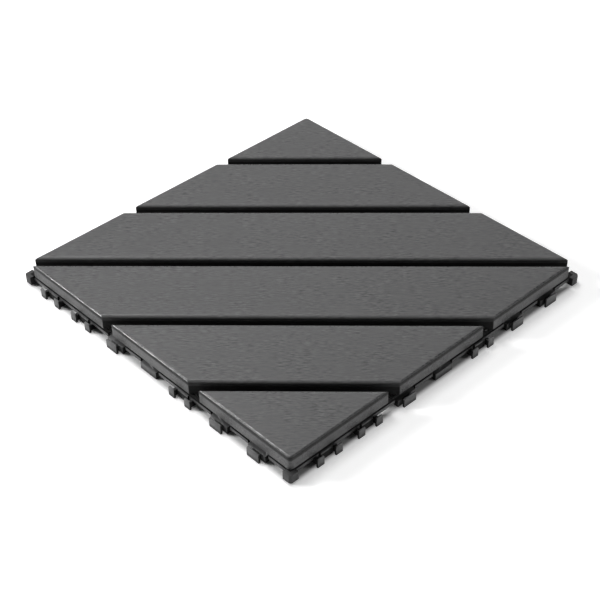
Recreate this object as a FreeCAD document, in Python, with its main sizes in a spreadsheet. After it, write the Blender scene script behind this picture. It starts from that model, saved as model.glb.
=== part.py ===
"""An interlocking deck tile: six diagonal slats screwed to a moulded grid base.

Millimetres. The origin is the middle of the tile on the ground, +Z is up, and the four sides
lie along X and Y. The slats run along the diagonal from (-X, -Y) to (+X, +Y).
"""
import FreeCAD, Part
import math
import os
import Sketcher

# Driving sizes

SIZES = [
    ("tile_side", 298.0, "side of the square that the slats fill"),
    ("joint_gap", 6.8, "gap between two laid tiles, so that they repeat every 304.8"),
    ("deck_height", 8.0, "height of the base, where the slats sit"),
    ("slat_thickness", 12.0, "thickness of a slat"),
    ("slat_share", 0.33396, "pitch of the slats as a share of half the tile's diagonal"),
    ("slat_gap", 7.5, "gap between two slats"),
    ("arris_radius", 1.8, "rounding of a slat's top edges"),
    ("corner_bevel", 1.5, "bevel of the square corners in plan"),
    ("slat_foot_bevel", 0.7, "bevel round a slat's underside"),
    ("rim_clearance", 4.0, "open height under the rim, where water drains"),
    ("rim_wall", 3.0, "thickness of the rim"),
    ("seam_depth", 1.2, "how far the rim's top edge is stepped back"),
    ("seam_height", 0.9, "height of the step under the slats"),
    ("rib_wall", 1.8, "thickness of a grid rib"),
    ("rib_clearance", 3.0, "open height under the ribs"),
    ("foot_side", 6.4, "side of a square foot at the ribs"),
    ("foot_draft", 4.0, "draft of a foot, degrees"),
    ("boss_diameter", 10.0, "outside of a screw boss"),
    ("boss_clearance", 1.6, "open height under a boss"),
    ("boss_web", 3.5, "plastic under the slat that a screw clamps"),
    ("screw_diameter", 3.6, "shank of a screw"),
    ("screw_head_diameter", 6.8, "head of a screw"),
    ("screw_head_height", 2.3, "height of a screw's head"),
    ("screw_bite", 8.5, "depth of a screw in the slat"),
    ("bore_clearance", 0.2, "play round a screw's shank in its boss"),
    ("recess_clearance", 0.4, "play round a screw's head in its boss"),
    ("pilot_clearance", 0.05, "play round a screw in the slat"),
    ("pilot_spare", 0.8, "pilot hole beyond the screw's end"),
    ("station_share", 0.13087, "pitch of the connectors as a share of the side"),
    ("prong_spacing", 17.2, "between the two prongs of a clip"),
    ("prong_width", 6.2, "width of a prong's face"),
    ("prong_reach", 5.0, "how far a prong stands out from the slats"),
    ("prong_neck", 2.6, "thickness of the neck behind a prong"),
    ("lip_thickness", 1.6, "thickness of a prong's face"),
    ("clip_wall_reach", 1.4, "how far the wall between two prongs stands out"),
    ("head_catch", 0.6, "how far a head laps behind each prong"),
    ("head_play", 2.0, "side play of a head's neck between two prongs"),
    ("fit_clearance", 0.15, "clearance between two locked tiles"),
    ("block_width", 17.6, "width of the block behind a head, and of the bumper"),
    ("block_height", 6.0, "height of that block"),
    ("block_slot", 1.6, "slot in the rim beside that block"),
    ("notch_depth", 2.0, "depth of the notch in the rim over that block"),
    ("neck_height", 5.0, "height of the necks"),
    ("face_height", 7.0, "height of a prong's or a head's straight face"),
    ("cap_height", 0.8, "height of the sloped lead-in on top of it"),
    ("cap_draft", 30.0, "slope of the lead-in, degrees"),
    ("post_side", 7.6, "side of a corner post"),
    ("post_edge_bevel", 1.5, "bevel of a corner post's outer edge"),
    ("post_bevel", 0.8, "bevel round the foot of a corner post"),
]

# Connectors along one side, counted counter-clockwise from the middle.
# A clip on one tile meets the head at the mirrored station of the next tile.
CLIP_STATIONS = (-3, -2, 1)
HEAD_STATIONS = (-1, 2, 3)
BUMPER_STATIONS = (0,)

# Grid crossings, counted from the middle, that carry a screw boss under each front slat
SCREWS_LONG = ((4, 3), (-3, -4), (5, 2), (-2, -5), (1, -1))
SCREWS_SHORT = ((4, -1), (1, -4), (5, -2), (2, -5))
SCREWS_CORNER = ((5, -4), (4, -5))
SCREWS_FRONT = SCREWS_LONG + SCREWS_SHORT + SCREWS_CORNER

RIBS_EACH_WAY = 11
FEET_EACH_WAY = 5
SIDES = 4

# Flats on everything turned: screws, their bosses and holes
TURNED_SIDES = 8

# Tolerance for finding edges
TINY = 1e-6

# Lengths worked out from the driving sizes
HALF = "(Sizes.tile_side / 2)"
TOP = "(Sizes.deck_height + Sizes.slat_thickness)"
SLAT_PITCH = "(Sizes.slat_share * Sizes.tile_side / sqrt(2))"
CELL = "(%s * sqrt(2) / 4)" % SLAT_PITCH
STATION_PITCH = "(Sizes.station_share * Sizes.tile_side)"
JOINT_GAP = "Sizes.joint_gap"
PRONG_GAP = "(Sizes.prong_spacing - Sizes.prong_width)"
HEAD_WIDTH = "(%s + 2 * Sizes.head_catch)" % PRONG_GAP
HEAD_NECK = "(%s - 2 * Sizes.head_play)" % PRONG_GAP
HEAD_REACH = "(%s - Sizes.clip_wall_reach - Sizes.fit_clearance)" % JOINT_GAP
HEAD_BACK = "(%s - Sizes.prong_reach + Sizes.lip_thickness + Sizes.fit_clearance)" % JOINT_GAP
BLOCK_REACH = "(%s - Sizes.prong_reach - Sizes.fit_clearance)" % JOINT_GAP
LIP_BACK = "(Sizes.prong_reach - Sizes.lip_thickness)"
CLIP_ROOT = "(Sizes.prong_spacing + Sizes.prong_neck)"
SCREW_SEAT = "(Sizes.deck_height - Sizes.boss_web)"

doc = FreeCAD.newDocument("deck_tile")
sheet = doc.addObject("Spreadsheet::Sheet", "Sizes")


def fill_sheet():
    """Writes each driving size as a plain number with its name as alias."""
    for row, (name, value, note) in enumerate(SIZES, start=1):
        sheet.set("A%d" % row, note)
        sheet.set("B%d" % row, str(value))
        sheet.setAlias("B%d" % row, name)
    doc.recompute()


def value_of(expression):
    """The number that an expression on the sheet gives."""
    return float(sheet.evalExpression(expression.replace("Sizes.", "")))


# Helpers for sketches and features

def new_body(name):
    body = doc.addObject("PartDesign::Body", name)
    body.Label = name
    return body


def origin_feature(body, role):
    for feature in body.Origin.OriginFeatures:
        if feature.Role == role:
            return feature
    raise ValueError("no origin feature " + role)


def new_sketch(body, name, height="0"):
    """A sketch on the body's XY plane, raised to a height."""
    sketch = body.newObject("Sketcher::SketchObject", name)
    sketch.AttachmentSupport = [(origin_feature(body, "XY_Plane"), "")]
    sketch.MapMode = "FlatFace"
    if height != "0":
        sketch.setExpression("AttachmentOffset.Base.z", height)
    return sketch


def add_outline(sketch, corners):
    """A closed outline through corners given as pairs of expressions."""
    points = [FreeCAD.Vector(value_of(x), value_of(y), 0) for x, y in corners]
    count = len(points)
    edges = [Part.LineSegment(points[i], points[(i + 1) % count]) for i in range(count)]
    first = sketch.addGeometry(edges, False)[0]
    joints = []
    places = []
    ties = []
    for i, (x, y) in enumerate(corners):
        joints.append(Sketcher.Constraint("Coincident", first + i, 2, first + (i + 1) % count, 1))
        places.append(Sketcher.Constraint("DistanceX", -1, 1, first + i, 1, points[i].x))
        places.append(Sketcher.Constraint("DistanceY", -1, 1, first + i, 1, points[i].y))
        ties.extend([x, y])
    sketch.addConstraint(joints)
    for index, tie in zip(sketch.addConstraint(places), ties):
        sketch.setExpression("Constraints[%d]" % index, tie)


def add_rectangle(sketch, middle, width, near, far):
    """A rectangle on the -Y side: its middle along the side, its width, and its reach outwards."""
    left = "%s - %s / 2" % (middle, width)
    right = "%s + %s / 2" % (middle, width)
    inner = "-%s - (%s)" % (HALF, near)
    outer = "-%s - (%s)" % (HALF, far)
    add_outline(sketch, [(left, outer), (right, outer), (right, inner), (left, inner)])


def add_square(sketch, half_side):
    """A square about the middle of the tile."""
    low = "-(%s)" % half_side
    add_outline(sketch, [(low, low), (half_side, low), (half_side, half_side), (low, half_side)])


def add_hole(sketch, x, y, diameter):
    """The outline of a hole: a circle drawn with a few flats."""
    corners = []
    for index in range(TURNED_SIDES):
        angle = index * 360 / TURNED_SIDES
        across = "%s + %s / 2 * cos(%g deg)" % (x, diameter, angle)
        along = "%s + %s / 2 * sin(%g deg)" % (y, diameter, angle)
        corners.append((across, along))
    add_outline(sketch, corners)


def pad(body, sketch, length, draft=None):
    feature = body.newObject("PartDesign::Pad", sketch.Name + "_pad")
    feature.Profile = sketch
    feature.setExpression("Length", length)
    if draft is not None:
        feature.setExpression("TaperAngle", draft)
    feature.Refine = False
    sketch.Visibility = False
    return feature


def pocket(body, sketch, depth):
    """A pocket upwards from its sketch."""
    feature = body.newObject("PartDesign::Pocket", sketch.Name + "_pocket")
    feature.Profile = sketch
    feature.Reversed = True
    feature.setExpression("Length", depth)
    feature.Refine = False
    return feature


def turned_copies(body, name, features, count):
    """Copies of features turned right round the tile's middle."""
    pattern = body.newObject("PartDesign::PolarPattern", name)
    pattern.Originals = features
    pattern.Axis = (origin_feature(body, "Z_Axis"), [""])
    pattern.Angle = 360
    pattern.Occurrences = count
    pattern.Refine = False
    body.Tip = pattern
    return pattern


def edges_where(feature, test):
    """Names of the edges of a feature that pass a test."""
    found = []
    for index, edge in enumerate(feature.Shape.Edges, start=1):
        if test(edge):
            found.append("Edge%d" % index)
    return found


def is_upright(edge):
    ends = [vertex.Point for vertex in edge.Vertexes]
    return len(ends) == 2 and math.hypot(ends[0].x - ends[1].x, ends[0].y - ends[1].y) < TINY


def level(height):
    """A test for edges that lie flat at a height."""
    return lambda edge: abs(edge.BoundBox.ZMin - height) < TINY and abs(edge.BoundBox.ZMax - height) < TINY


def dress(body, kind, name, base, test, size_name, size):
    """A fillet or a chamfer on the edges of a feature that pass a test."""
    doc.recompute()
    feature = body.newObject("PartDesign::" + kind, name)
    feature.Base = (base, edges_where(base, test))
    feature.setExpression(size_name, size)
    feature.Refine = False
    return feature


def turn(angle):
    """A turn about the tile's middle."""
    return FreeCAD.Placement(FreeCAD.Vector(), FreeCAD.Rotation(FreeCAD.Vector(0, 0, 1), angle))


# Slats

def crossing(i, j):
    """A grid crossing as a pair of expressions."""
    return "%d * %s" % (i, CELL), "%d * %s" % (j, CELL)


def along_side(distance):
    """Where a line across the tile at this distance from its diagonal meets the -Y side."""
    return "(%s * sqrt(2) - %s)" % (distance, HALF)


def add_slat(name, inner_gap, outer_gap, screws, turned):
    """One slat between two gaps, counted from the diagonal; without an outer gap it ends in a corner."""
    body = new_body(name)
    inner = "(%d * %s + Sizes.slat_gap / 2)" % (inner_gap, SLAT_PITCH)
    low = "-" + HALF
    corners = [(along_side(inner), low)]
    if outer_gap is None:
        corners.append((HALF, low))
    else:
        outer = "(%d * %s - Sizes.slat_gap / 2)" % (outer_gap, SLAT_PITCH)
        corners.append((along_side(outer), low))
        corners.append((HALF, "-" + along_side(outer)))
    corners.append((HALF, "-" + along_side(inner)))
    outline = new_sketch(body, name + "_outline", "Sizes.deck_height")
    add_outline(outline, corners)
    shape = pad(body, outline, "Sizes.slat_thickness")
    half = value_of(HALF)
    top = value_of(TOP)
    bottom = value_of("Sizes.deck_height")

    def in_square_corner(edge):
        point = edge.Vertexes[0].Point
        return is_upright(edge) and point.x > half - TINY and point.y < TINY - half

    if outer_gap is None:
        corner = name + "_corner"
        shape = dress(body, "Chamfer", corner, shape, in_square_corner, "Size", "Sizes.corner_bevel")
    shape = dress(body, "Fillet", name + "_arris", shape, level(top), "Radius", "Sizes.arris_radius")
    dress(body, "Chamfer", name + "_foot", shape, level(bottom), "Size", "Sizes.slat_foot_bevel")
    holes = new_sketch(body, name + "_pilots", "Sizes.deck_height")
    for i, j in screws:
        add_hole(holes, *crossing(i, j), "(Sizes.screw_diameter + 2 * Sizes.pilot_clearance)")
    pocket(body, holes, "Sizes.screw_bite + Sizes.pilot_spare")
    if turned:
        body.Placement = turn(180)
    return body


def add_slats():
    """Three slats on each side of the diagonal; the rear ones are the front ones turned half round."""
    slats = []
    for side, turned in (("front", False), ("rear", True)):
        slats.append(add_slat(side + "_long_slat", 0, 1, SCREWS_LONG, turned))
        slats.append(add_slat(side + "_short_slat", 1, 2, SCREWS_SHORT, turned))
        slats.append(add_slat(side + "_corner_slat", 2, None, SCREWS_CORNER, turned))
    return slats


# Moulded base

def add_rim(body):
    """The outer wall, stepped back at the top so that a seam shows under the slats."""
    lower = new_sketch(body, "rim_lower", "Sizes.rim_clearance")
    add_square(lower, HALF)
    add_square(lower, HALF + " - Sizes.rim_wall")
    pad(body, lower, "Sizes.deck_height - Sizes.seam_height - Sizes.rim_clearance")
    upper = new_sketch(body, "rim_upper", "Sizes.rim_clearance")
    add_square(upper, HALF + " - Sizes.seam_depth")
    add_square(upper, HALF + " - Sizes.rim_wall")
    pad(body, upper, "Sizes.deck_height - Sizes.rim_clearance")


def primitive(kind, name, **sizes):
    """A Part primitive with its sizes tied to the sheet."""
    item = doc.addObject("Part::" + kind, name)
    for property_name, expression in sizes.items():
        item.setExpression(property_name, expression)
    return item


def copies(master, places, height="0"):
    """Links to one solid, each at a pair of expressions and all at one height."""
    links = []
    for x, y in places:
        link = doc.addObject("App::Link", master.Name + "_copy")
        link.LinkedObject = master
        link.setExpression("Placement.Base.x", x)
        link.setExpression("Placement.Base.y", y)
        link.setExpression("Placement.Base.z", height)
        links.append(link)
    return links


def all_screw_crossings():
    """The crossings under the front slats, and the same turned half round for the rear ones."""
    places = []
    for sign in (1, -1):
        for i, j in SCREWS_FRONT:
            places.append(crossing(sign * i, sign * j))
    return places


def add_ribs():
    """Ribs both ways from rim to rim, spaced so that the slats' middles lie over their crossings."""
    reach = "(%s - Sizes.rim_wall / 2)" % HALF
    ribs = []
    for index in range(-(RIBS_EACH_WAY // 2), RIBS_EACH_WAY // 2 + 1):
        for long_way, thin_way in (("x", "y"), ("y", "x")):
            rib = primitive("Box", "rib", Height="Sizes.deck_height - Sizes.rib_clearance")
            rib.setExpression("Placement.Base.z", "Sizes.rib_clearance")
            rib.setExpression("Placement.Base." + long_way, "-" + reach)
            rib.setExpression("Placement.Base." + thin_way, "%d * %s - Sizes.rib_wall / 2" % (index, CELL))
            rib.setExpression({"x": "Length", "y": "Width"}[long_way], "2 * " + reach)
            rib.setExpression({"x": "Length", "y": "Width"}[thin_way], "Sizes.rib_wall")
            ribs.append(rib)
    return ribs


def turned_solid(name, diameter, height):
    """An upright turned solid."""
    item = primitive("Prism", name, Circumradius="(%s) / 2" % diameter, Height=height)
    item.Polygon = TURNED_SIDES
    return item


def add_feet():
    """A drafted square foot under every second crossing."""
    body = new_body("foot")
    outline = new_sketch(body, "foot_outline", "Sizes.deck_height")
    low, high = "-Sizes.foot_side / 2", "Sizes.foot_side / 2"
    add_outline(outline, [(low, low), (high, low), (high, high), (low, high)])
    foot = pad(body, outline, "Sizes.deck_height", "-Sizes.foot_draft")
    foot.Reversed = True
    steps = range(1 - FEET_EACH_WAY, FEET_EACH_WAY, 2)
    return copies(body, [crossing(i, j) for i in steps for j in steps])


def add_bosses():
    """Bosses that the screws pass up through."""
    boss = turned_solid("boss", "Sizes.boss_diameter", "Sizes.deck_height - Sizes.boss_clearance")
    return copies(boss, all_screw_crossings(), "Sizes.boss_clearance")


def add_posts():
    """A post that carries each corner, with its outer edge and its foot bevelled."""
    body = new_body("corner_post")
    outline = new_sketch(body, "post_outline")
    reach = "(%s + %s / 2)" % (HALF, JOINT_GAP)
    inner = "(%s - Sizes.post_side)" % reach
    add_outline(outline, [
        (inner, "-" + reach), (reach, "-" + reach), (reach, "-" + inner), (inner, "-" + inner),
    ])
    post = pad(body, outline, "Sizes.deck_height")
    outer = value_of(reach)

    def is_outer(edge):
        point = edge.Vertexes[0].Point
        return is_upright(edge) and point.x > outer - TINY and point.y < TINY - outer

    post = dress(body, "Chamfer", "post_edge", post, is_outer, "Size", "Sizes.post_edge_bevel")
    dress(body, "Chamfer", "post_foot", post, level(0), "Size", "Sizes.post_bevel")
    posts = []
    for side in range(SIDES):
        link = doc.addObject("App::Link", "corner_post_copy")
        link.LinkedObject = body
        link.Placement = turn(side * 360 / SIDES)
        posts.append(link)
    return posts


def add_boss_bores():
    """The stepped hole of a boss: a recess for the screw's head and a bore for its shank."""
    recess = turned_solid(
        "head_recess", "Sizes.screw_head_diameter + 2 * Sizes.recess_clearance", SCREW_SEAT)
    bore = turned_solid(
        "screw_bore", "Sizes.screw_diameter + 2 * Sizes.bore_clearance", "Sizes.deck_height")
    stepped = doc.addObject("Part::MultiFuse", "stepped_bore")
    stepped.Shapes = [recess, bore]
    return copies(stepped, all_screw_crossings())


def prong_middles(station):
    middle = "%d * %s" % (station, STATION_PITCH)
    return middle + " - Sizes.prong_spacing / 2", middle + " + Sizes.prong_spacing / 2"


def add_connectors(body):
    """The connectors of one side, then all four sides by turning them."""
    wide_block = "(Sizes.block_width + 2 * Sizes.block_slot)"
    notch = new_sketch(body, "block_notch", "Sizes.rim_clearance")
    block = new_sketch(body, "block")
    clip_wall = new_sketch(body, "clip_wall")
    neck = new_sketch(body, "neck")
    face = new_sketch(body, "face")
    cap = new_sketch(body, "face_cap", "Sizes.face_height")
    faces = []
    for station in HEAD_STATIONS + BUMPER_STATIONS:
        middle = "%d * %s" % (station, STATION_PITCH)
        add_rectangle(notch, middle, wide_block, "-Sizes.notch_depth", BLOCK_REACH)
        add_rectangle(block, middle, "Sizes.block_width", "-Sizes.rim_wall", BLOCK_REACH)
    for station in HEAD_STATIONS:
        middle = "%d * %s" % (station, STATION_PITCH)
        add_rectangle(neck, middle, HEAD_NECK, "0", HEAD_BACK)
        faces.append((middle, HEAD_WIDTH, HEAD_BACK, HEAD_REACH))
    for station in CLIP_STATIONS:
        middle = "%d * %s" % (station, STATION_PITCH)
        root = ["%s %s %s / 2" % (middle, sign, CLIP_ROOT) for sign in "-+"]
        wall = ["%s %s %s / 2" % (middle, sign, PRONG_GAP) for sign in "-+"]
        back = "-%s + Sizes.rim_wall" % HALF
        flush = "-" + HALF
        front = "-%s - Sizes.clip_wall_reach" % HALF
        add_outline(clip_wall, [
            (root[0], back), (root[0], flush), (wall[0], flush), (wall[0], front),
            (wall[1], front), (wall[1], flush), (root[1], flush), (root[1], back),
        ])
        for prong in prong_middles(station):
            add_rectangle(neck, prong, "Sizes.prong_neck", "-Sizes.rim_wall / 2", LIP_BACK)
            faces.append((prong, "Sizes.prong_width", LIP_BACK, "Sizes.prong_reach"))
    for sketch in (face, cap):
        for rectangle in faces:
            add_rectangle(sketch, *rectangle)
    notch_pocket = pocket(body, notch, "Sizes.deck_height")
    pads = [
        pad(body, block, "Sizes.block_height"),
        pad(body, clip_wall, "Sizes.deck_height - Sizes.seam_height"),
        pad(body, neck, "Sizes.neck_height"),
        pad(body, face, "Sizes.face_height"),
        pad(body, cap, "Sizes.cap_height", "-Sizes.cap_draft"),
    ]
    turned_copies(body, "four_sides", [notch_pocket] + pads, SIDES)


def add_base():
    """The rim with its connectors, joined with ribs, feet and bosses as one moulding, then bored."""
    frame = new_body("rim_frame")
    add_rim(frame)
    add_connectors(frame)
    moulding = doc.addObject("Part::MultiFuse", "moulding")
    moulding.Shapes = [frame] + add_posts() + add_ribs() + add_feet() + add_bosses()
    bores = doc.addObject("Part::Compound", "boss_bores")
    bores.Links = add_boss_bores()
    base = doc.addObject("Part::Cut", "base_grid")
    base.Label = "base_grid"
    base.Base = moulding
    base.Tool = bores
    base.Refine = True
    return base


# Screws

def add_screws():
    """One screw, head down, and a link to it under each boss."""
    shoulder = "%s - Sizes.screw_head_height" % SCREW_SEAT
    head = turned_solid("screw_head", "Sizes.screw_head_diameter", "Sizes.screw_head_height")
    shank = turned_solid(
        "screw_shank", "Sizes.screw_diameter",
        "Sizes.screw_head_height + Sizes.boss_web + Sizes.screw_bite")
    screw = doc.addObject("Part::MultiFuse", "screw")
    screw.Shapes = [head, shank]
    group = doc.addObject("Part::Compound", "fixing_screws")
    group.Label = "fixing_screws"
    group.Links = copies(screw, all_screw_crossings(), shoulder)
    return group


def check_states():
    """Stops on any object that failed to build."""
    for item in doc.Objects:
        if "Invalid" in item.State or "Error" in item.State:
            raise RuntimeError("%s did not build: %s" % (item.Name, item.State))


def check_shape(item):
    if item.Shape.isNull() or not item.Shape.isValid():
        raise RuntimeError("%s has no valid shape" % item.Label)


fill_sheet()
sub_parts = add_slats()
sub_parts.append(add_base())
sub_parts.append(add_screws())
doc.recompute()
check_states()
os.makedirs("parts", exist_ok=True)
for sub_part in sub_parts:
    check_shape(sub_part)
    box = sub_part.Shape.BoundBox
    size = "x %.2f to %.2f  z %.2f to %.2f" % (box.XMin, box.XMax, box.ZMin, box.ZMax)
    print("%-18s solids %2d  %s" % (sub_part.Label, len(sub_part.Shape.Solids), size))
    sub_part.Shape.exportStep("parts/%s.step" % sub_part.Label)
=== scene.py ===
# %% [markdown]
# This file dresses an interlocking deck tile: six diagonal slats of grained plastic, screwed to
# a moulded grid base with clips along its sides. The CAD model is loaded first as a fixed frame,
# in metres, with the middle of the tile on the ground at the origin. Each piece made here takes
# its place from that frame, so nothing has to be fitted by eye.

# %% Load the frame
import math

import bmesh
import bpy
from mathutils import Matrix, Vector


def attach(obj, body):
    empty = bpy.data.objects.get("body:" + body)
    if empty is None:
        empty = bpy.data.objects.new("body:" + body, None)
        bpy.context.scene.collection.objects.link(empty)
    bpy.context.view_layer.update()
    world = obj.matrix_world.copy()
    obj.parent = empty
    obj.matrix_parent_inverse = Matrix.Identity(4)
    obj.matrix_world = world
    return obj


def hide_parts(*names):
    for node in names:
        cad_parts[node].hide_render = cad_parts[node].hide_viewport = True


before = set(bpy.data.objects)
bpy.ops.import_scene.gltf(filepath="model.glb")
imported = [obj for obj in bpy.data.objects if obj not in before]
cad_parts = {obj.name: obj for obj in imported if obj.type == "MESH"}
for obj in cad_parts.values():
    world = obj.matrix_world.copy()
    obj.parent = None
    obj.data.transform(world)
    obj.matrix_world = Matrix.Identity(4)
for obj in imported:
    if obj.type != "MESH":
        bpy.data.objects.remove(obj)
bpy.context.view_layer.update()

MM = 0.001
print("nodes:", sorted(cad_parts))

# %% [markdown]
# The slats are planks with every edge softened. A Bevel modifier would do this, but the real slats
# have a wide, flat curve along the gaps and a tight one along the sides of the tile, and the two
# blend at the tips. So each slat is lofted: one outline is repeated at several heights, each edge
# moved in by its own share, and the rings are bridged with quads. There are only six slats in
# three shapes, so plain lofts are simpler here than a Geometry Nodes tree. The outline comes from
# the same pitch, gap and side as the CAD. An arris is the line where two faces meet, and the
# numbers for it say how far its curve reaches in from each kind of edge.

# %% Outline of a slat
HALF = 149.0 * MM
SLAT_PITCH = 70.37 * MM
SLAT_GAP = 7.5 * MM
SIDE_ARRIS = 1.8 * MM
GAP_ARRIS = 4.0 * MM
TIP_RADIUS = 0.4 * MM
BEND_RADIUS = 1.5 * MM
CORNER_RADIUS = 3.0 * MM


def slat_corners(inner_gap, outer_gap):
    """Plan corners of a front slat, counter-clockwise: place, rounding, arris of the edge after."""
    inner = (inner_gap * SLAT_PITCH + SLAT_GAP / 2) * math.sqrt(2) - HALF
    corners = [(Vector((inner, -HALF)), TIP_RADIUS, SIDE_ARRIS)]
    if outer_gap is None:
        corners.append((Vector((HALF, -HALF)), CORNER_RADIUS, SIDE_ARRIS))
    else:
        outer = (outer_gap * SLAT_PITCH - SLAT_GAP / 2) * math.sqrt(2) - HALF
        corners.append((Vector((outer, -HALF)), BEND_RADIUS, GAP_ARRIS))
        corners.append((Vector((HALF, -outer)), BEND_RADIUS, SIDE_ARRIS))
    corners.append((Vector((HALF, -inner)), TIP_RADIUS, GAP_ARRIS))
    return corners


SLAT_OUTLINES = {
    "long_slat": slat_corners(0, 1),
    "short_slat": slat_corners(1, 2),
    "corner_slat": slat_corners(2, None),
}
for kind, corners in SLAT_OUTLINES.items():
    print(kind, "corners, mm:", [(round(p.x / MM, 1), round(p.y / MM, 1)) for p, _, _ in corners])

# %% [markdown]
# Each ring of the loft is that outline moved in, with an arc at every corner. Two edges may move
# in by different amounts, so the centre of the arc is worked out: it lies the arc's radius inside
# both moved edges.

# %% One ring of the loft
ARC_STEPS = 7
SHARPEST = 0.15 * MM


def rounded_ring(corners, even, share):
    """The outline moved in by an even amount and by a share of each edge's arris."""
    ring = []
    count = len(corners)
    for i, (corner, radius, arris_after) in enumerate(corners):
        before = (corner - corners[i - 1][0]).normalized()
        after = (corners[(i + 1) % count][0] - corner).normalized()
        inset_before = even + share * corners[i - 1][2]
        inset_after = even + share * arris_after
        arc = max(radius - min(inset_before, inset_after), SHARPEST)
        turn = before.angle(after)
        to_centre = (inset_after + arc - (inset_before + arc) * math.cos(turn)) / math.sin(turn)
        outward = Vector((before.y, -before.x))
        centre = corner - before * to_centre - outward * (inset_before + arc)
        for step in range(ARC_STEPS + 1):
            angle = turn * step / ARC_STEPS
            spoke = Vector((
                outward.x * math.cos(angle) - outward.y * math.sin(angle),
                outward.x * math.sin(angle) + outward.y * math.cos(angle)))
            ring.append(centre + spoke * arc)
    return ring


print("points in a ring:", {kind: len(rounded_ring(c, 0, 0)) for kind, c in SLAT_OUTLINES.items()})

# %% [markdown]
# The rings go from the small bevel under the slat, up the straight side and over the rounded top
# edge. The curve there is a quarter of an ellipse, because it may reach in further than it goes
# down.

# %% Heights of the rings
SLAT_BOTTOM = 8.0 * MM
SLAT_TOP = 20.0 * MM
FOOT_BEVEL = 0.7 * MM
ARRIS_DEPTH = 1.8 * MM


def slat_levels():
    """Even inset, share of the arris and height of each ring, from the underside to the top."""
    levels = [(FOOT_BEVEL, 0.0, SLAT_BOTTOM), (0.0, 0.0, SLAT_BOTTOM + FOOT_BEVEL)]
    for step in range(ARC_STEPS + 1):
        angle = math.pi / 2 * step / ARC_STEPS
        levels.append((0.0, 1 - math.cos(angle), SLAT_TOP - ARRIS_DEPTH * (1 - math.sin(angle))))
    return levels


print("ring heights, mm:", [round(level[2] / MM, 2) for level in slat_levels()])

# %% [markdown]
# Neighbouring rings are bridged with quads, and the flat ends are closed with one face each. The
# sides are shaded smooth by angle, so the rounded edge catches the light as one line, as the
# pressed edge of the real slat does. The rear half of the tile is the front half turned half round.

# %% Loft the slats
SLAT_CREASE = 40


def loft(name, rings):
    """A closed mesh through rings of equal length, lowest first."""
    shape = bmesh.new()
    rows = [[shape.verts.new(point) for point in ring] for ring in rings]
    count = len(rows[0])
    for low, high in zip(rows, rows[1:]):
        for i in range(count):
            j = (i + 1) % count
            shape.faces.new((low[i], low[j], high[j], high[i]))
    shape.faces.new(list(reversed(rows[0])))
    shape.faces.new(rows[-1])
    mesh = bpy.data.meshes.new(name)
    shape.to_mesh(mesh)
    shape.free()
    return mesh


def add_piece(name, mesh, *replaced):
    """Puts a mesh in the scene as a piece of the tile that stands for CAD nodes."""
    piece = bpy.data.objects.new(name, mesh)
    bpy.context.scene.collection.objects.link(piece)
    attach(piece, "root")
    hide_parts(*replaced)
    return piece


def shade_by_angle(mesh, limit_degrees):
    """Smooth shading that stays sharp on edges steeper than the limit."""
    mesh.shade_smooth()
    mesh.set_sharp_from_angle(angle=math.radians(limit_degrees))


slats = {}
for kind, corners in SLAT_OUTLINES.items():
    rings = []
    for even, share, height in slat_levels():
        rings.append([(p.x, p.y, height) for p in rounded_ring(corners, even, share)])
    for side, angle in (("front", 0.0), ("rear", math.pi)):
        name = side + "_" + kind
        mesh = loft(name, rings)
        mesh.transform(Matrix.Rotation(angle, 4, "Z"))
        shade_by_angle(mesh, SLAT_CREASE)
        slats[name] = add_piece(name + "_planed", mesh, name)
        print(name, "faces", len(mesh.polygons))

# %% [markdown]
# The slats have a wood grain pressed into them: long, thin streaks that follow the slat. It could
# be modelled, but such a fine relief would take millions of faces, so it is a height for a Bump
# node. The nodes that make it are kept in a group, which a material uses like one node. In the
# editor nodes are wired by hand. Here feed and node do it, so that a tree reads as a list of what
# goes into what.

# %% Grain group
def feed(tree, socket, source):
    """Gives an input a plain value, or wires another node's output to it."""
    if isinstance(source, bpy.types.NodeSocket):
        tree.links.new(source, socket)
    else:
        socket.default_value = source


def node(tree, kind, feeds=None, **settings):
    """Adds a node, sets its properties, then feeds its inputs by name or number."""
    made = tree.nodes.new(kind)
    for key, value in settings.items():
        setattr(made, key, value)
    for label, source in (feeds or {}).items():
        feed(tree, made.inputs[label], source)
    return made


def new_group(name, outputs, inputs):
    """An empty shader node group whose sockets are all plain values."""
    group = bpy.data.node_groups.new(name, "ShaderNodeTree")
    for label in outputs:
        group.interface.new_socket(label, in_out="OUTPUT", socket_type="NodeSocketFloat")
    for label, value in inputs.items():
        socket = group.interface.new_socket(label, in_out="INPUT", socket_type="NodeSocketFloat")
        socket.default_value = value
    return group


grain = new_group("pressed_grain", ["Height"], {"Fine Share": 0.6})
print("sockets of the grain group:", [item.name for item in grain.interface.items_tree])

# %% [markdown]
# Noise gives the streaks. The object coordinates are turned to the slat's diagonal, then squeezed
# across, so each spot of noise is drawn out along the slat. A wave texture would be simpler, but
# its lines would be too regular for wood.

# %% Streaks of the grain
FINE_ALONG, FINE_ACROSS = 170.0, 900.0
BROAD_ALONG, BROAD_ACROSS = 45.0, 260.0
STREAK_DETAIL, STREAK_ROUGHNESS = 2.0, 0.62
SLAT_TURN = math.radians(-45)


def speckle(tree, place, scale, detail=1.0, roughness=0.5):
    """Noise with about so many spots to the metre."""
    noise = node(tree, "ShaderNodeTexNoise", {
        "Vector": place, "Scale": scale, "Detail": detail, "Roughness": roughness})
    return noise.outputs["Fac"]


def streaks(tree, lengthwise, along, across):
    """Noise that is long one way and thin the other, in spots to the metre."""
    squeezed = node(tree, "ShaderNodeMapping", {
        "Vector": lengthwise, "Scale": (along, across, across)})
    return speckle(tree, squeezed.outputs["Vector"], 1.0, STREAK_DETAIL, STREAK_ROUGHNESS)


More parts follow.
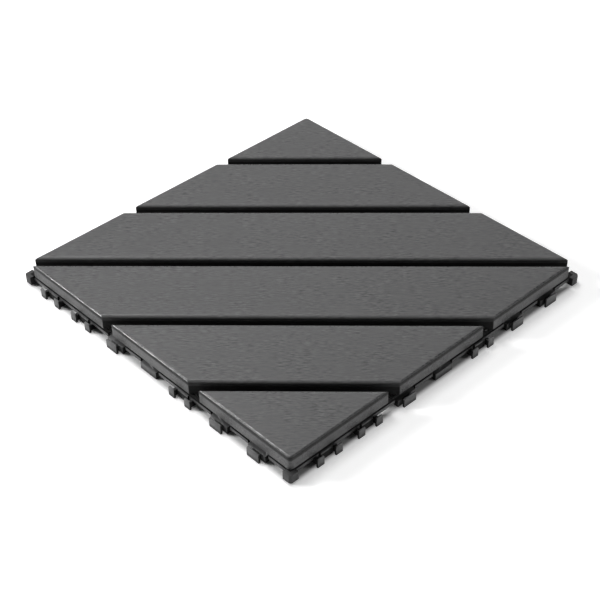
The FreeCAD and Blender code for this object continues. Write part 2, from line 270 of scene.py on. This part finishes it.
place = node(grain, "ShaderNodeTexCoord").outputs["Object"]
turned = node(grain, "ShaderNodeMapping", {"Vector": place, "Rotation": (0.0, 0.0, SLAT_TURN)})
fine = streaks(grain, turned.outputs["Vector"], FINE_ALONG, FINE_ACROSS)
broad = streaks(grain, turned.outputs["Vector"], BROAD_ALONG, BROAD_ACROSS)
print("streaks:", len(grain.nodes), "nodes")

# %% [markdown]
# A real press wears unevenly, so the fine streaks are strong in some patches and almost gone in
# others, where only the broad ones are left. A third, large noise picks the patches. The group's
# one input says how much of the fine grain a material wants.

# %% Patches of the grain
PATCHES = 55.0
PATCH_FROM, PATCH_TO = 0.35, 0.65
LEAST_FINE = 0.25
BROAD_LOW, BROAD_HIGH = 0.42, 0.58


def reckon(tree, operation, *sources):
    """A Math node whose inputs are other sockets or plain numbers; gives its output."""
    sum_node = node(tree, "ShaderNodeMath", dict(enumerate(sources)), operation=operation)
    return sum_node.outputs["Value"]


def fold(tree, operation, first, *others):
    """One sum taken along a row of masks, such as the largest or the product of them all."""
    for other in others:
        first = reckon(tree, operation, first, other)
    return first


def ramp_between(tree, source, start, end, low=0.0, high=1.0, course="LINEAR"):
    """A value that goes from low at start to high at end, and stays there."""
    ramp = node(tree, "ShaderNodeMapRange", {
        "Value": source, "From Min": start, "From Max": end, "To Min": low, "To Max": high,
    }, interpolation_type=course)
    return ramp.outputs["Result"]


def blend(tree, share, start, end):
    """A value that a mask takes from one to another."""
    mix = node(tree, "ShaderNodeMix", {"Factor": share, "A": start, "B": end}, data_type="FLOAT")
    return mix.outputs["Result"]


patches = ramp_between(grain, speckle(grain, place, PATCHES), PATCH_FROM, PATCH_TO, LEAST_FINE)
fine_here = reckon(grain, "MULTIPLY", node(grain, "NodeGroupInput").outputs["Fine Share"], patches)
quiet = ramp_between(grain, broad, 0.0, 1.0, BROAD_LOW, BROAD_HIGH)
node(grain, "NodeGroupOutput", {"Height": blend(grain, fine_here, quiet, fine)})
print("grain group:", len(grain.nodes), "nodes")

# %% [markdown]
# A slat isn't the same all over. Its edges along the tile's sides are rubbed smooth, and its walls
# in the gaps are made dull and dark with painted shade. Both could be painted by hand on each
# slat. It is simpler to let the shape say where they are: the normal tells which way a spot faces
# and the object coordinates tell how high it lies, and both are the same for all six slats. This
# cell reads those facts. toward is how far the normal leans across the slats, and skew is how far
# it is from lying square to a side of the tile.

# %% Which way a spot on a slat faces
def parts_of(tree, vector):
    """The X, Y and Z of a vector socket."""
    split = node(tree, "ShaderNodeSeparateXYZ", {"Vector": vector})
    return split.outputs["X"], split.outputs["Y"], split.outputs["Z"]


def along_diagonal(tree, vector):
    """How far a vector goes towards the front corner, across the slats."""
    to_front = (math.sqrt(0.5), -math.sqrt(0.5), 0.0)
    dot = node(tree, "ShaderNodeVectorMath", {0: vector, 1: to_front}, operation="DOT_PRODUCT")
    return dot.outputs["Value"]


def size_of(tree, value):
    """A value without its sign."""
    return reckon(tree, "ABSOLUTE", value)


# Polish is a gloss mask; the second output is a mask of painted shade.
edges = new_group("slat_edges", ["Polish", "Painted Shade"], {})
place = node(edges, "ShaderNodeTexCoord").outputs["Object"]
facing = node(edges, "ShaderNodeNewGeometry").outputs["Normal"]
normal_x, normal_y, normal_z = parts_of(edges, facing)
skew = reckon(edges, "MINIMUM", size_of(edges, normal_x), size_of(edges, normal_y))
toward = along_diagonal(edges, facing)
height = ramp_between(edges, parts_of(edges, place)[2], SLAT_BOTTOM, SLAT_TOP)
print("facts about a spot:", len(edges.nodes), "nodes")

# %% [markdown]
# Polish marks the rounded top edges that feet and rain have rubbed: those along the sides of the
# tile, and those at the rear of each slat. A band in the upward part of the normal picks the curve
# between the flat top and the upright wall. Small dots break the line up, because no worn edge is
# even.

# %% Polish along the edges
TILTED = ((0.0, 0.0), (0.60, 0.0), (0.80, 1.0), (0.985, 1.0), (1.0, 0.0))
ASKEW, SQUARE_ON = 0.14, 0.06
REAR_FROM, REAR_TO = -0.08, -0.16
RUB_DOTS = 420.0
DOT_FROM, DOT_TO = 0.45, 0.58
LEAST_RUB = 0.25


def band(tree, value, stops):
    """A value turned into a mask that rises and falls through (position, mask) stops."""
    curve = node(tree, "ShaderNodeFloatCurve", {"Value": value})
    points = curve.mapping.curves[0].points
    while len(points) < len(stops):
        points.new(0.5, 0.5)
    for point, stop in zip(points, stops):
        point.location = stop
        point.handle_type = "VECTOR"
    curve.mapping.update()
    return curve.outputs["Value"]


tilted = band(edges, normal_z, TILTED)
on_side = ramp_between(edges, skew, ASKEW, SQUARE_ON)
at_rear = ramp_between(edges, toward, REAR_FROM, REAR_TO)
rubbed = ramp_between(edges, speckle(edges, place, RUB_DOTS), DOT_FROM, DOT_TO, LEAST_RUB)
polish = fold(edges, "MULTIPLY", tilted, reckon(edges, "MAXIMUM", on_side, at_rear), rubbed)
print("with the polish:", len(edges.nodes), "nodes")

# %% [markdown]
# Painted shade marks where shade falls: the foot of the slat, a line under its top edge, the walls
# of the gaps, darker the deeper they go, and the curve that leads down into a gap from the front.
# The wall of the near corner's arc faces the same way as a gap's wall, so a limit on the distance
# from the middle keeps the painted shade off it.

# %% Painted shade in the gaps
FOOT_AND_EDGE_SHADE = (
    (0.0, 0.35), (0.12, 0.0), (0.66, 0.0), (0.78, 0.74), (0.92, 0.74), (0.97, 0.0), (1.0, 0.0))
DARK_BELOW = 0.66
WALL_FROM, WALL_TO = 0.80, 0.95
SWEPT_FROM, SWEPT_TO, SWEPT_SHADE = 0.02, 0.60, 0.6
SWEPT_SKEW_FROM, SWEPT_SKEW_TO = 0.07, 0.16
CORNER_AT, CORNER_CLEAR = 190.0 * MM, 180.0 * MM

# Painted shade: a dark band at the slat's foot and a dark line under its top edge.
foot_and_edge_shade = band(edges, height, FOOT_AND_EDGE_SHADE)
deep = ramp_between(edges, height, 1.0, DARK_BELOW)
gap_wall = ramp_between(edges, size_of(edges, toward), WALL_FROM, WALL_TO)
swept = reckon(edges, "MULTIPLY",
               ramp_between(edges, toward, SWEPT_FROM, SWEPT_TO, 0.0, SWEPT_SHADE),
               ramp_between(edges, skew, SWEPT_SKEW_FROM, SWEPT_SKEW_TO))
from_middle = size_of(edges, along_diagonal(edges, place))
short_of_corner = ramp_between(edges, from_middle, CORNER_AT, CORNER_CLEAR)
# Painted shade on the gap walls, darker lower down, and on the curve into each gap from the front.
gap_shade = reckon(edges, "MAXIMUM", reckon(edges, "MULTIPLY", gap_wall, deep), swept)
gap_shade = reckon(edges, "MULTIPLY", gap_shade, short_of_corner)
node(edges, "NodeGroupOutput", {"Polish": polish, "Painted Shade": reckon(edges, "MAXIMUM", gap_shade, foot_and_edge_shade)})
print("slat edges group:", len(edges.nodes), "nodes")

# %% [markdown]
# The slats' plastic is a satin mid grey. Its gloss is what shows the relief, so the grain drives
# a Bump node. An image of a real plank would show more, but it would need unwrapping and would
# repeat from slat to slat. Both groups are placed in the material with its own values.

# %% Slat plastic: its relief
FINE_SHARE = 0.9
GRAIN_STRENGTH, GRAIN_DEPTH = 1.0, 0.45 * MM


def new_material(name):
    """A material with a Principled shader; gives the material, its tree and the shader."""
    material = bpy.data.materials.new(name)
    material.use_nodes = True
    tree = material.node_tree
    tree.nodes.clear()
    shader = node(tree, "ShaderNodeBsdfPrincipled")
    node(tree, "ShaderNodeOutputMaterial", {"Surface": shader.outputs["BSDF"]})
    return material, tree, shader


def emboss(tree, shader, relief, strength, depth):
    """Lets a height tilt the normal that the shader sees."""
    bump = node(tree, "ShaderNodeBump", {"Height": relief, "Strength": strength, "Distance": depth})
    feed(tree, shader.inputs["Normal"], bump.outputs["Normal"])


slat_plastic, tree, shader = new_material("slat_plastic")
pressed = node(tree, "ShaderNodeGroup", {"Fine Share": FINE_SHARE}, node_tree=grain)
relief = pressed.outputs["Height"]
emboss(tree, shader, relief, GRAIN_STRENGTH, GRAIN_DEPTH)
polish_and_shade = node(tree, "ShaderNodeGroup", node_tree=edges)
print("slat relief, mm:", GRAIN_DEPTH / MM)

# %% [markdown]
# The same height moves the tone and the roughness a little, because the hollows of a pressed grain
# hold dust. Painted shade turns the colour almost black and the surface dull. Polish lowers the
# roughness and adds a thin clear coat, which gives the bright line along the sides. Numbers that
# are the same all over, such as the coat's roughness, are set on the shader's own sockets.

# %% Slat plastic: its tones and gloss
NOISE_LOW, NOISE_HIGH = 0.3, 0.7
GRAIN_HOLLOW, GRAIN_CREST = (0.038, 0.038, 0.039, 1.0), (0.178, 0.178, 0.179, 1.0)
# Near black of the painted shade on the slats, with a dull roughness.
SLAT_SHADE_COLOUR = (0.003, 0.003, 0.003, 1.0)
SLAT_SATIN = (0.42, 0.52)
POLISHED = 0.2
DULL_IN_SHADE = 0.95
POLISH_COAT, COAT_ROUGHNESS, COAT_IOR = 0.6, 0.2, 1.8


def tint(tree, share, start, end):
    """A colour that a mask takes from one to another."""
    mix = node(tree, "ShaderNodeMix", {"Factor": share, "A": start, "B": end}, data_type="RGBA")
    return mix.outputs["Result"]


def spread(tree, source, low=0.0, high=1.0):
    """Noise stretched to a range; most of its values lie between NOISE_LOW and NOISE_HIGH."""
    return ramp_between(tree, source, NOISE_LOW, NOISE_HIGH, low, high)


def finish_with_painted_shade(tree, shader, painted_shade, colour, roughness, painted_shade_colour):
    """Colour and roughness of the clean plastic, turned dark and dull where shade is painted."""
    feed(tree, shader.inputs["Base Color"], tint(tree, painted_shade, colour, painted_shade_colour))
    feed(tree, shader.inputs["Roughness"], blend(tree, painted_shade, roughness, DULL_IN_SHADE))


def paint(piece, material):
    """Gives a piece one material."""
    piece.data.materials.clear()
    piece.data.materials.append(material)


grained = tint(tree, spread(tree, relief), GRAIN_HOLLOW, GRAIN_CREST)
satin = blend(tree, polish_and_shade.outputs["Polish"], spread(tree, relief, *SLAT_SATIN), POLISHED)
# Where the edges group paints shade, the colour goes near black and the surface dull.
finish_with_painted_shade(tree, shader, polish_and_shade.outputs["Painted Shade"], grained, satin, SLAT_SHADE_COLOUR)
coat = reckon(tree, "MULTIPLY", polish_and_shade.outputs["Polish"], POLISH_COAT)
feed(tree, shader.inputs["Coat Weight"], coat)
shader.inputs["Coat Roughness"].default_value = COAT_ROUGHNESS
shader.inputs["Coat IOR"].default_value = COAT_IOR
for slat in slats.values():
    paint(slat, slat_plastic)
print("slats painted:", len(slats))

# %% [markdown]
# The base gets painted shade in places that its shape fixes: the seam under the slats behind the
# face of the rim, the flanks of the clips, the corner posts, the wall between two prongs and a
# painted contact shadow along its foot. The base is one piece, so its own coordinates find all of
# these, and one mask for each place is easier to tune than a painted image. reach is how far out
# towards a side of the tile a spot lies, whichever side that is.

# %% Painted shade of the base
SEAM_LOW, SEAM_HIGH = 6.4 * MM, 6.9 * MM
RIM_FACE, RIM_BEHIND = 149.6 * MM, 149.0 * MM
CLIPS_FROM, CLIPS_TO = 147.0 * MM, 148.0 * MM
FLANK_FROM, FLANK_TO = 0.7, 0.95
POST_FROM, POST_TO, POST_SHADE = 138.0 * MM, 141.0 * MM, 0.4
CONTACT_SHADE_TOP, CONTACT_SHADE_LOW, CONTACT_SHADE_STRENGTH = 3.6 * MM, 1.6 * MM, 0.5
SOCKET_NEAR, SOCKET_FAR = (150.20 * MM, 150.35 * MM), (150.58 * MM, 150.48 * MM)
SOCKET_TOP, SOCKET_LOW = 5.9 * MM, 5.3 * MM

base_plastic, tree, shader = new_material("base_plastic")
place = node(tree, "ShaderNodeTexCoord").outputs["Object"]
at_x, at_y, at_z = parts_of(tree, place)
out_x, out_y = size_of(tree, at_x), size_of(tree, at_y)
reach = reckon(tree, "MAXIMUM", out_x, out_y)
# Every mask below is painted shade, gathered into dark: seam, clip flanks, posts, foot, prong wall.
seam = reckon(tree, "MULTIPLY",
              ramp_between(tree, at_z, SEAM_LOW, SEAM_HIGH),
              ramp_between(tree, reach, RIM_FACE, RIM_BEHIND))
normal_x, normal_y, _ = parts_of(tree, node(tree, "ShaderNodeNewGeometry").outputs["Normal"])
at_x_side = reckon(tree, "GREATER_THAN", out_x, out_y)
along_side = blend(tree, at_x_side, size_of(tree, normal_x), size_of(tree, normal_y))
flanks = reckon(tree, "MULTIPLY",
                ramp_between(tree, along_side, FLANK_FROM, FLANK_TO),
                ramp_between(tree, reach, CLIPS_FROM, CLIPS_TO))
nearer = reckon(tree, "MINIMUM", out_x, out_y)
posts = ramp_between(tree, nearer, POST_FROM, POST_TO, 0.0, POST_SHADE)
# Painted contact shadow, darker towards the floor.
contact_shade = ramp_between(tree, at_z, CONTACT_SHADE_TOP, CONTACT_SHADE_LOW, 0.0, CONTACT_SHADE_STRENGTH)
sockets = fold(tree, "MULTIPLY",
               ramp_between(tree, reach, *SOCKET_NEAR), ramp_between(tree, reach, *SOCKET_FAR),
               ramp_between(tree, at_z, SOCKET_TOP, SOCKET_LOW))
dark = fold(tree, "MAXIMUM", seam, flanks, posts, contact_shade, sockets)
print("dark places of the base:", len(tree.nodes), "nodes")

# %% [markdown]
# The base is the slats' plastic without pressed grain. It keeps the fine, even bloom of a moulding,
# which plain noise gives, and takes its painted shade in the same way as the slats.

# %% Base plastic
BLOOM, BLOOM_DETAIL, BLOOM_ROUGHNESS = 260.0, 3.0, 0.6
BLOOM_STRENGTH, BLOOM_DEPTH = 0.2, 0.1 * MM
MOULD_DARK, MOULD_LIGHT = (0.080, 0.080, 0.081, 1.0), (0.112, 0.112, 0.113, 1.0)
# Near black of the painted shade on the base.
BASE_SHADE_COLOUR = (0.006, 0.006, 0.006, 1.0)
BASE_SATIN = (0.44, 0.54)

bloom = speckle(tree, place, BLOOM, BLOOM_DETAIL, BLOOM_ROUGHNESS)
emboss(tree, shader, bloom, BLOOM_STRENGTH, BLOOM_DEPTH)
moulded = tint(tree, spread(tree, bloom), MOULD_DARK, MOULD_LIGHT)
finish_with_painted_shade(tree, shader, dark, moulded, spread(tree, bloom, *BASE_SATIN), BASE_SHADE_COLOUR)
print("base plastic:", len(tree.nodes), "nodes")

# %% [markdown]
# The base is one moulding of ribs, feet, bosses, clips and posts. All of that is true in the CAD
# mesh, so building it again would gain nothing. What it lacks is the small rounding that every
# moulded edge has, which catches the light along the sides. So its mesh is copied, its loose
# triangles are merged, flat neighbours are joined, and the outer edges are bevelled. Only edges
# that stick out are rounded, because a bevel in a corner would fill the slots of the clips.

# %% Round the moulded base
MOULD_ROUNDING = 0.4 * MM
ROUNDING_STEPS = 2
ROUND_PROFILE = 0.5
MERGE = 0.002 * MM
FLAT_ANGLE = math.radians(0.5)
FEATURE_ANGLE = math.radians(25)
RIM_INSIDE = 145.0 * MM
BASE_CREASE = 30


def sticks_out(edge):
    """True for a sharp outward edge in the ring of clips round the tile."""
    if len(edge.link_faces) != 2 or edge.calc_face_angle_signed() < FEATURE_ANGLE:
        return False
    return all(max(abs(v.co.x), abs(v.co.y)) > RIM_INSIDE for v in edge.verts)


def rounded_moulding(node_name):
    """A copy of a CAD node's mesh with its outer edges rounded."""
    shape = bmesh.new()
    shape.from_mesh(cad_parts[node_name].data)
    bmesh.ops.remove_doubles(shape, verts=shape.verts, dist=MERGE)
    bmesh.ops.dissolve_limit(
        shape, angle_limit=FLAT_ANGLE, verts=shape.verts, edges=shape.edges)
    outer = [edge for edge in shape.edges if sticks_out(edge)]
    bmesh.ops.bevel(
        shape, geom=outer, offset=MOULD_ROUNDING, segments=ROUNDING_STEPS, profile=ROUND_PROFILE,
        affect="EDGES", clamp_overlap=True)
    open_edges = sum(1 for edge in shape.edges if len(edge.link_faces) != 2)
    mesh = bpy.data.meshes.new(node_name + "_moulded")
    shape.to_mesh(mesh)
    shape.free()
    print(node_name, "edges rounded", len(outer), "faces", len(mesh.polygons), "open", open_edges)
    return mesh


moulding = rounded_moulding("base_grid")
shade_by_angle(moulding, BASE_CREASE)
base = add_piece("moulded_base", moulding, "base_grid")
paint(base, base_plastic)

# %% [markdown]
# Zinc-plated screws come up through the bosses from below. Zinc is a bright grey metal with faint
# scuffs, so the shader is fully metallic and fine noise moves its tone and roughness a little.

# %% Screw steel
SCUFFS, SCUFF_DETAIL = 900.0, 2.0
ZINC_DARK, ZINC_LIGHT = (0.50, 0.50, 0.48, 1.0), (0.68, 0.68, 0.66, 1.0)
ZINC_ROUGHNESS = (0.28, 0.42)

screw_steel, tree, shader = new_material("screw_steel")
shader.inputs["Metallic"].default_value = 1.0
place = node(tree, "ShaderNodeTexCoord").outputs["Object"]
scuffs = speckle(tree, place, SCUFFS, SCUFF_DETAIL)
feed(tree, shader.inputs["Base Color"], tint(tree, scuffs, ZINC_DARK, ZINC_LIGHT))
feed(tree, shader.inputs["Roughness"], spread(tree, scuffs, *ZINC_ROUGHNESS))
print("screw steel:", len(tree.nodes), "nodes")

# %% [markdown]
# The screws are all alike, so one is built in Geometry Nodes and put on every point of a small
# mesh that holds the screw places. Copies made by hand would each need changing again later. The
# sizes are inputs of the tree, so another screw needs no new nodes.

# %% Screw tree: its sizes
SCREW_SIZES = {
    "Head Diameter": 6.8 * MM,
    "Head Height": 2.3 * MM,
    "Rim Slope": 0.7 * MM,
    "Shank Diameter": 3.6 * MM,
    "Length": 14.3 * MM,
    "Recess Width": 3.6 * MM,
    "Recess Slot": 0.9 * MM,
    "Recess Depth": 1.3 * MM,
}

screws_tree = bpy.data.node_groups.new("fixing_screws", "GeometryNodeTree")
sockets_of = screws_tree.interface
sockets_of.new_socket("Places", in_out="INPUT", socket_type="NodeSocketGeometry")
for label, size in SCREW_SIZES.items():
    socket = sockets_of.new_socket(label, in_out="INPUT", socket_type="NodeSocketFloat")
    socket.default_value = size
sockets_of.new_socket("Finish", in_out="INPUT", socket_type="NodeSocketMaterial")
sockets_of.new_socket("Screws", in_out="OUTPUT", socket_type="NodeSocketGeometry")
given = node(screws_tree, "NodeGroupInput").outputs
print("sizes of a screw:", len(SCREW_SIZES))

# %% [markdown]
# The head is a cone for its sloped rim and a cylinder above it, and the shank is a thinner
# cylinder that starts inside the head. The cylinders are made about their own middle, so they are
# moved up to their places.

# %% Screw tree: its solids
SCREW_ROUND = 24
CONE, CYLINDER = "GeometryNodeMeshCone", "GeometryNodeMeshCylinder"


def sum_of(a, factor_a, b=None, factor_b=0.0):
    """factor_a * a + factor_b * b for two of the tree's inputs."""
    rest = 0.0 if b is None else reckon(screws_tree, "MULTIPLY", given[b], factor_b)
    return reckon(screws_tree, "MULTIPLY_ADD", given[a], factor_a, rest)


def place_up(geometry, height):
    """Geometry moved up by a value."""
    offset = node(screws_tree, "ShaderNodeCombineXYZ", {"Z": height}).outputs["Vector"]
    moved = node(screws_tree, "GeometryNodeTransform", {
        "Geometry": geometry, "Translation": offset})
    return moved.outputs["Geometry"]


def round_solid(kind, depth, radii):
    """A cylinder or a cone of the screw's roundness."""
    feeds = {"Vertices": SCREW_ROUND, "Depth": depth, **radii}
    return node(screws_tree, kind, feeds).outputs["Mesh"]


head_radius = sum_of("Head Diameter", 0.5)
rim = round_solid(CONE, given["Rim Slope"], {
    "Radius Bottom": sum_of("Head Diameter", 0.5, "Rim Slope", -1.0), "Radius Top": head_radius})
disc = round_solid(
    CYLINDER, sum_of("Head Height", 1.0, "Rim Slope", -1.0), {"Radius": head_radius})
disc = place_up(disc, sum_of("Head Height", 0.5, "Rim Slope", 0.5))
shank = round_solid(
    CYLINDER, sum_of("Length", 1.0, "Head Height", -0.5), {"Radius": sum_of("Shank Diameter", 0.5)})
shank = place_up(shank, sum_of("Length", 0.5, "Head Height", 0.25))
print("solids of a screw:", len(screws_tree.nodes), "nodes")

# %% [markdown]
# A union joins the solids, and two crossed boxes cut the recess for the driver.

# %% Screw tree: its recess
def slot_box(wide, thin):
    """One arm of the cross recess, centred on the head's end."""
    size = node(screws_tree, "ShaderNodeCombineXYZ", {
        wide: given["Recess Width"], thin: given["Recess Slot"], "Z": sum_of("Recess Depth", 2.0)})
    box = node(screws_tree, "GeometryNodeMeshCube", {"Size": size.outputs["Vector"]})
    return box.outputs["Mesh"]


whole = node(screws_tree, "GeometryNodeMeshBoolean", operation="UNION")
for solid in (rim, disc, shank):
    feed(screws_tree, whole.inputs["Mesh 2"], solid)
screw = node(screws_tree, "GeometryNodeMeshBoolean", {
    "Mesh 1": whole.outputs["Mesh"]}, operation="DIFFERENCE")
for box in (slot_box("X", "Y"), slot_box("Y", "X")):
    feed(screws_tree, screw.inputs["Mesh 2"], box)
print("one screw:", len(screws_tree.nodes), "nodes")

# %% [markdown]
# The last nodes put the screw on every point, make the copies real and give them their steel. The
# copies have to be real because the export drops instances.

# %% Screw tree: its copies
copies = node(screws_tree, "GeometryNodeInstanceOnPoints", {
    "Points": given["Places"], "Instance": screw.outputs["Mesh"]})
real = node(screws_tree, "GeometryNodeRealizeInstances", {"Geometry": copies.outputs["Instances"]})
finish = node(screws_tree, "GeometryNodeSetMaterial", {
    "Geometry": real.outputs["Geometry"], "Material": given["Finish"]})
node(screws_tree, "NodeGroupOutput", {"Screws": finish.outputs["Geometry"]})
print("screw tree:", len(screws_tree.nodes), "nodes")

# %% [markdown]
# The screw places are grid crossings of the base, counted from its middle. The rear half has the
# front half's places turned half round. The modifier's inputs are set by each socket's identifier,
# then the result is kept as a plain mesh and the modifier goes, because the export takes meshes.

# %% Set the screws
CELL = SLAT_PITCH * math.sqrt(2) / 4
SCREW_LOW = 2.2 * MM
SCREW_CREASE = 30
LONG_SLAT_SCREWS = ((4, 3), (-3, -4), (5, 2), (-2, -5), (1, -1))
SHORT_SLAT_SCREWS = ((4, -1), (1, -4), (5, -2), (2, -5))
CORNER_SLAT_SCREWS = ((5, -4), (4, -5))

crossings = LONG_SLAT_SCREWS + SHORT_SLAT_SCREWS + CORNER_SLAT_SCREWS
places = [(side * i * CELL, side * j * CELL, SCREW_LOW) for side in (1, -1) for i, j in crossings]
place_mesh = bpy.data.meshes.new("screw_places")
place_mesh.from_pydata(places, [], [])
screws = bpy.data.objects.new("zinc_screws", place_mesh)
bpy.context.scene.collection.objects.link(screws)
maker = screws.modifiers.new("screws", "NODES")
maker.node_group = screws_tree
for socket in screws_tree.interface.items_tree:
    if socket.in_out == "INPUT" and socket.name in SCREW_SIZES:
        maker[socket.identifier] = SCREW_SIZES[socket.name]
    if socket.in_out == "INPUT" and socket.name == "Finish":
        maker[socket.identifier] = screw_steel
seen_screws = screws.evaluated_get(bpy.context.evaluated_depsgraph_get())
screw_mesh = bpy.data.meshes.new_from_object(seen_screws)
screws.modifiers.clear()
screws.data = screw_mesh
shade_by_angle(screw_mesh, SCREW_CREASE)
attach(screws, "root")
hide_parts("fixing_screws")
print("screws:", len(places), "faces", len(screw_mesh.polygons))

# %% [markdown]
# The tile lies on a plain, dull white floor. It is one large square, and it isn't part of the
# tile.

# %% Floor
FLOOR_REACH = 6.0
FLOOR_WHITE = (0.9, 0.9, 0.9, 1.0)
FLOOR_ROUGHNESS = 0.9
FLOOR_GLOSS = 0.1

floor_mesh = bpy.data.meshes.new("floor")
floor_mesh.from_pydata(
    [(-FLOOR_REACH, -FLOOR_REACH, 0.0), (FLOOR_REACH, -FLOOR_REACH, 0.0),
     (FLOOR_REACH, FLOOR_REACH, 0.0), (-FLOOR_REACH, FLOOR_REACH, 0.0)],
    [], [(0, 1, 2, 3)])
floor = bpy.data.objects.new("floor", floor_mesh)
bpy.context.scene.collection.objects.link(floor)
floor_paint, tree, shader = new_material("floor_white")
shader.inputs["Base Color"].default_value = FLOOR_WHITE
shader.inputs["Roughness"].default_value = FLOOR_ROUGHNESS
shader.inputs["Specular IOR Level"].default_value = FLOOR_GLOSS
paint(floor, floor_paint)
print("floor side, m:", 2 * FLOOR_REACH)

# %% [markdown]
# In a studio the floor reads as pure white. More light would do that, but it would also bleach the
# tile. So the floor glows a little, and only for the camera and for rays that a surface mirrors or
# lets through: its lamplit colour and its shadow stay, and the tile gets no light from the glow.
# The glow starts at the tile's sides, so the ground under it stays dark, and is full white far
# away, where the floor has to meet the background.

# %% Glow of the floor
WHITE = (1.0, 1.0, 1.0, 1.0)
LIFT_START, LIFT_FULL, LIFT = 149.2 * MM, 155.0 * MM, 0.5
FAR_START, FAR_FULL = 0.3, 0.9

at_x, at_y, _ = parts_of(tree, node(tree, "ShaderNodeTexCoord").outputs["Object"])
reach = reckon(tree, "MAXIMUM", size_of(tree, at_x), size_of(tree, at_y))
near_lift = ramp_between(tree, reach, LIFT_START, LIFT_FULL, 0.0, LIFT, "SMOOTHSTEP")
far_lift = ramp_between(tree, reach, FAR_START, FAR_FULL, 0.0, 1.0 - LIFT, "SMOOTHSTEP")
ray = node(tree, "ShaderNodeLightPath").outputs
passed_on = reckon(tree, "MAXIMUM", ray["Is Glossy Ray"], ray["Is Transmission Ray"])
seen_ray = reckon(tree, "MAXIMUM", ray["Is Camera Ray"], passed_on)
amount = reckon(tree, "MULTIPLY", reckon(tree, "ADD", near_lift, far_lift), seen_ray)
glow = node(tree, "ShaderNodeEmission", {"Color": WHITE, "Strength": amount})
lifted = node(tree, "ShaderNodeAddShader", {0: shader.outputs["BSDF"], 1: glow.outputs["Emission"]})
feed(tree, tree.nodes["Material Output"].inputs["Surface"], lifted.outputs["Shader"])
print("floor glow:", len(tree.nodes), "nodes")

# %% [markdown]
# Four soft lamps light the tile, as softboxes do in a studio. A broad one overhead, a little behind
# and to the left, sets the plain level. A weak one behind fills the far side. A smaller one low at
# the left draws the bright line along the left top edges and throws the short shadows beside the
# clips. A low one at the right lifts the right side. Point lamps would be simpler, but their
# shadows are hard and their reflections are dots.

# %% Lamps
LAMPS = (
    # name, direction from the tile, distance in m, side in m, power in W
    ("overhead_lamp", (-0.45, 0.04, 0.88), 3.0, 1.1, 37.0),
    ("back_lamp", (-0.50, 0.55, 0.60), 3.0, 1.5, 9.0),
    ("left_lamp", (-0.66, -0.61, 0.44), 2.6, 0.6, 49.0),
    ("right_lamp", (0.80, 0.58, 0.22), 2.6, 0.8, 16.0),
)


def add_softbox(name, direction, distance, side, power):
    """A square soft lamp in a direction from the tile, facing it."""
    lamp = bpy.data.lights.new(name, "AREA")
    lamp.shape = "SQUARE"
    lamp.size = side
    lamp.energy = power
    holder = bpy.data.objects.new(name, lamp)
    outward = Vector(direction).normalized()
    holder.location = outward * distance
    holder.rotation_mode = "QUATERNION"
    holder.rotation_quaternion = outward.to_track_quat("Z", "Y")
    bpy.context.scene.collection.objects.link(holder)


for lamp_row in LAMPS:
    add_softbox(*lamp_row)
    print(lamp_row[0], "power, W:", lamp_row[-1])

# %% [markdown]
# The world is nearly dark, so the gaps between the slats stay black. The camera sees it plain
# white. Mirrored rays see it white near the horizon and dark higher up, which gives the satin
# plastic and the zinc a bright surrounding without washing out the tops.

# %% World
FILL = 0.03
HORIZON_SINE = 0.3

world = bpy.data.worlds.new("pale_room")
bpy.context.scene.world = world
world.use_nodes = True
tree = world.node_tree
tree.nodes.clear()
ray = node(tree, "ShaderNodeLightPath").outputs
climb = parts_of(tree, node(tree, "ShaderNodeTexCoord").outputs["Generated"])[2]
horizon = ramp_between(tree, climb, HORIZON_SINE, 0.0)
passed_on = reckon(tree, "MAXIMUM", ray["Is Glossy Ray"], ray["Is Transmission Ray"])
dim = node(tree, "ShaderNodeBackground", {
    "Color": WHITE, "Strength": reckon(tree, "MULTIPLY_ADD", horizon, passed_on, FILL)})
seen = node(tree, "ShaderNodeBackground", {"Color": WHITE, "Strength": 1.0})
choose = node(tree, "ShaderNodeMixShader", {
    0: ray["Is Camera Ray"], 1: dim.outputs["Background"], 2: seen.outputs["Background"]})
node(tree, "ShaderNodeOutputWorld", {"Surface": choose.outputs["Shader"]})
bpy.context.scene.view_settings.view_transform = "Standard"
print("world fill:", FILL)

# %% [markdown]
# The camera was worked out from the photograph: the tile's edges, its gaps and the floor corners
# of its clips give one position, one direction and one focal length. It looks down on the near
# corner from about 39 degrees and is rolled by a degree and a half. Its axes are built from those
# angles and put straight into the object's matrix, which leaves nothing to aim by hand.

# %% Camera
AZIMUTH, ELEVATION, ROLL = math.radians(47.658), math.radians(39.240), math.radians(-1.556)
CAMERA_PLACE = Vector((0.62847, -0.57321, 0.67690))
FOCAL_IN_PIXELS = 1392.8
FRAME_PIXELS = 600
SENSOR_WIDTH = 36.0
CLIP_START, CLIP_END = 0.05, 50.0

back = Vector((
    math.sin(AZIMUTH) * math.cos(ELEVATION),
    -math.cos(AZIMUTH) * math.cos(ELEVATION),
    math.sin(ELEVATION)))
level_right = Vector((math.cos(AZIMUTH), math.sin(AZIMUTH), 0.0))
level_up = back.cross(level_right)
right = math.cos(ROLL) * level_right + math.sin(ROLL) * level_up
up = -math.sin(ROLL) * level_right + math.cos(ROLL) * level_up

lens = bpy.data.cameras.new("camera")
lens.sensor_width = SENSOR_WIDTH
lens.lens = FOCAL_IN_PIXELS / FRAME_PIXELS * SENSOR_WIDTH
lens.clip_start = CLIP_START
lens.clip_end = CLIP_END
camera = bpy.data.objects.new("camera", lens)
camera.matrix_world = Matrix((
    (right.x, up.x, back.x, CAMERA_PLACE.x),
    (right.y, up.y, back.y, CAMERA_PLACE.y),
    (right.z, up.z, back.z, CAMERA_PLACE.z),
    (0.0, 0.0, 0.0, 1.0)))
bpy.context.scene.collection.objects.link(camera)
bpy.context.scene.camera = camera
print("lens, mm:", round(lens.lens, 2))
